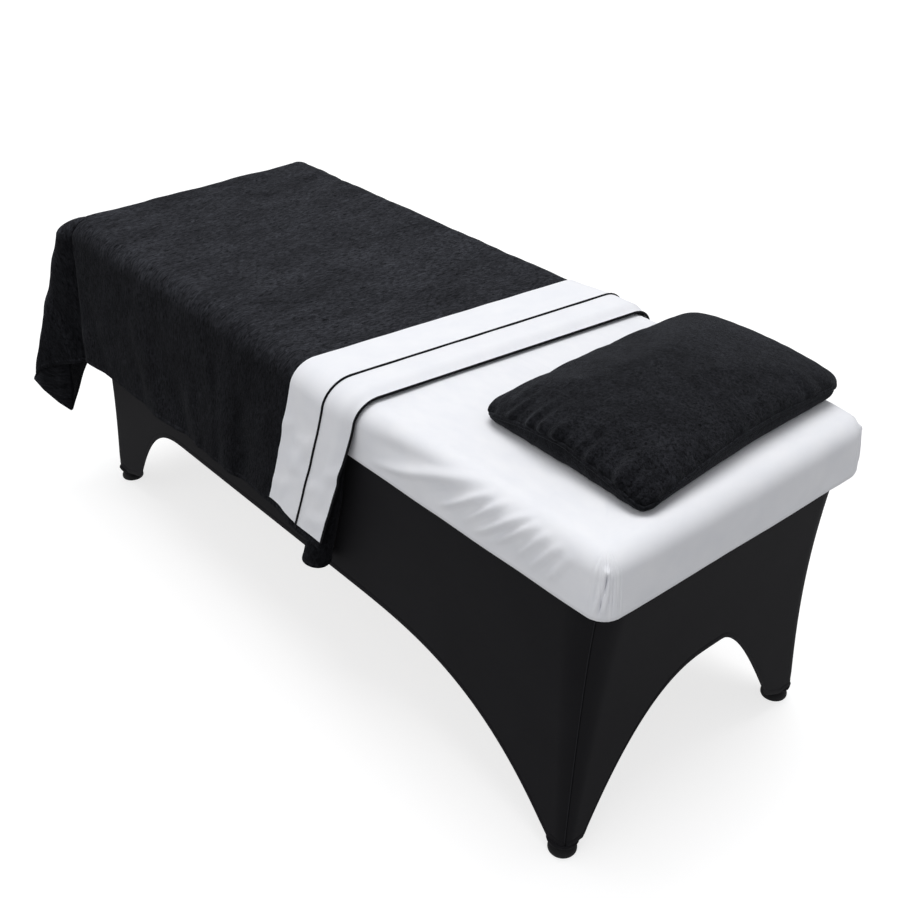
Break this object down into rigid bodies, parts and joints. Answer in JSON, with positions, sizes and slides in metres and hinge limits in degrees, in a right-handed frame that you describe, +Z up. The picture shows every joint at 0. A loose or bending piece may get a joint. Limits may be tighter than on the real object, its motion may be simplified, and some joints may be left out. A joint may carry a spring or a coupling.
{
  "type": "massage table",
  "caption": "Massage table dressed for treatment: padded top on splayed legs in a stretch cover, with fitted sheet, draped blanket, turn-down band and loose pillow.",
  "frame": {"origin": "on the floor, under the middle of the whole object's outline", "axes": "+X along the table towards its head end, +Y towards its back side, +Z up"},
  "size_m": [1.9594, 0.9694, 0.8405],
  "materials": {
    "white_cotton": "smooth white cotton, lightly creased",
    "black_fleece": "short brushed pile, mottled",
    "black_velvet": "short velvet pile",
    "black_stretch_fabric": "matte stretch knit, pulled smooth",
    "black_piping": "matte covered cord",
    "foam": "open-cell foam",
    "cream_vinyl": "fine-grained upholstery vinyl",
    "birch_plywood": "sanded",
    "beech": "satin varnish",
    "black_lacquer": "satin black lacquer on beech",
    "black_steel": "powder coat",
    "zinc_plate": "zinc plated",
    "brass": "turned",
    "black_rubber": "matte moulded"
  },
  "bodies": {
    "table": {"foam_pad": "foam", "pad_upholstery": "cream_vinyl", "fitted_sheet": "white_cotton", "deck_board": "birch_plywood", "side_rail_front": "beech", "side_rail_back": "beech", "end_rail_head": "beech", "end_rail_foot": "beech", "cross_bearer_1": "beech", "cross_bearer_2": "beech", "cross_bearer_3": "beech", "corner_block_head_front": "beech", "corner_block_head_back": "beech", "corner_block_foot_front": "beech", "corner_block_foot_back": "beech", "leg_plate_head_front": "black_steel", "leg_plate_head_back": "black_steel", "leg_plate_foot_front": "black_steel", "leg_plate_foot_back": "black_steel", "plate_bolt_head_front_1": "zinc_plate", "plate_bolt_head_front_2": "zinc_plate", "plate_bolt_head_back_1": "zinc_plate", "plate_bolt_head_back_2": "zinc_plate", "plate_bolt_foot_front_1": "zinc_plate", "plate_bolt_foot_front_2": "zinc_plate", "plate_bolt_foot_back_1": "zinc_plate", "plate_bolt_foot_back_2": "zinc_plate", "leg_head_front": "black_lacquer", "leg_head_back": "black_lacquer", "leg_foot_front": "black_lacquer", "leg_foot_back": "black_lacquer", "foot_bush_head_front": "brass", "foot_bush_head_back": "brass", "foot_bush_foot_front": "brass", "foot_bush_foot_back": "brass", "cover_panel_front": "black_stretch_fabric", "cover_panel_back": "black_stretch_fabric", "cover_panel_head": "black_stretch_fabric", "cover_panel_foot": "black_stretch_fabric", "cover_sleeve_head_front": "black_stretch_fabric", "cover_sleeve_head_back": "black_stretch_fabric", "cover_sleeve_foot_front": "black_stretch_fabric", "cover_sleeve_foot_back": "black_stretch_fabric", "blanket": "black_fleece", "blanket_underfold": "black_fleece", "turn_down_band": "white_cotton", "band_piping_middle": "black_piping", "band_piping_edge": "black_piping"},
    "level_foot_head_front": {"foot_stem_head_front": "zinc_plate", "foot_pad_head_front": "black_rubber"},
    "level_foot_head_back": {"foot_stem_head_back": "zinc_plate", "foot_pad_head_back": "black_rubber"},
    "level_foot_foot_front": {"foot_stem_foot_front": "zinc_plate", "foot_pad_foot_front": "black_rubber"},
    "level_foot_foot_back": {"foot_stem_foot_back": "zinc_plate", "foot_pad_foot_back": "black_rubber"},
    "loose_pillow": {"pillow": "black_velvet"}
  },
  "joints": [
    {"name": "level_head_front", "type": "slide", "parent": "table", "child": "level_foot_head_front", "axis": [0, 0, -1], "range_m": [0, 0.015]},
    {"name": "level_head_back", "type": "slide", "parent": "table", "child": "level_foot_head_back", "axis": [0, 0, -1], "range_m": [0, 0.015]},
    {"name": "level_foot_front", "type": "slide", "parent": "table", "child": "level_foot_foot_front", "axis": [0, 0, -1], "range_m": [0, 0.015]},
    {"name": "level_foot_back", "type": "slide", "parent": "table", "child": "level_foot_foot_back", "axis": [0, 0, -1], "range_m": [0, 0.015]},
    {"name": "lift_pillow", "type": "slide", "parent": "table", "child": "loose_pillow", "axis": [0, 0, 1], "range_m": [0, 0.3]}
  ]
}
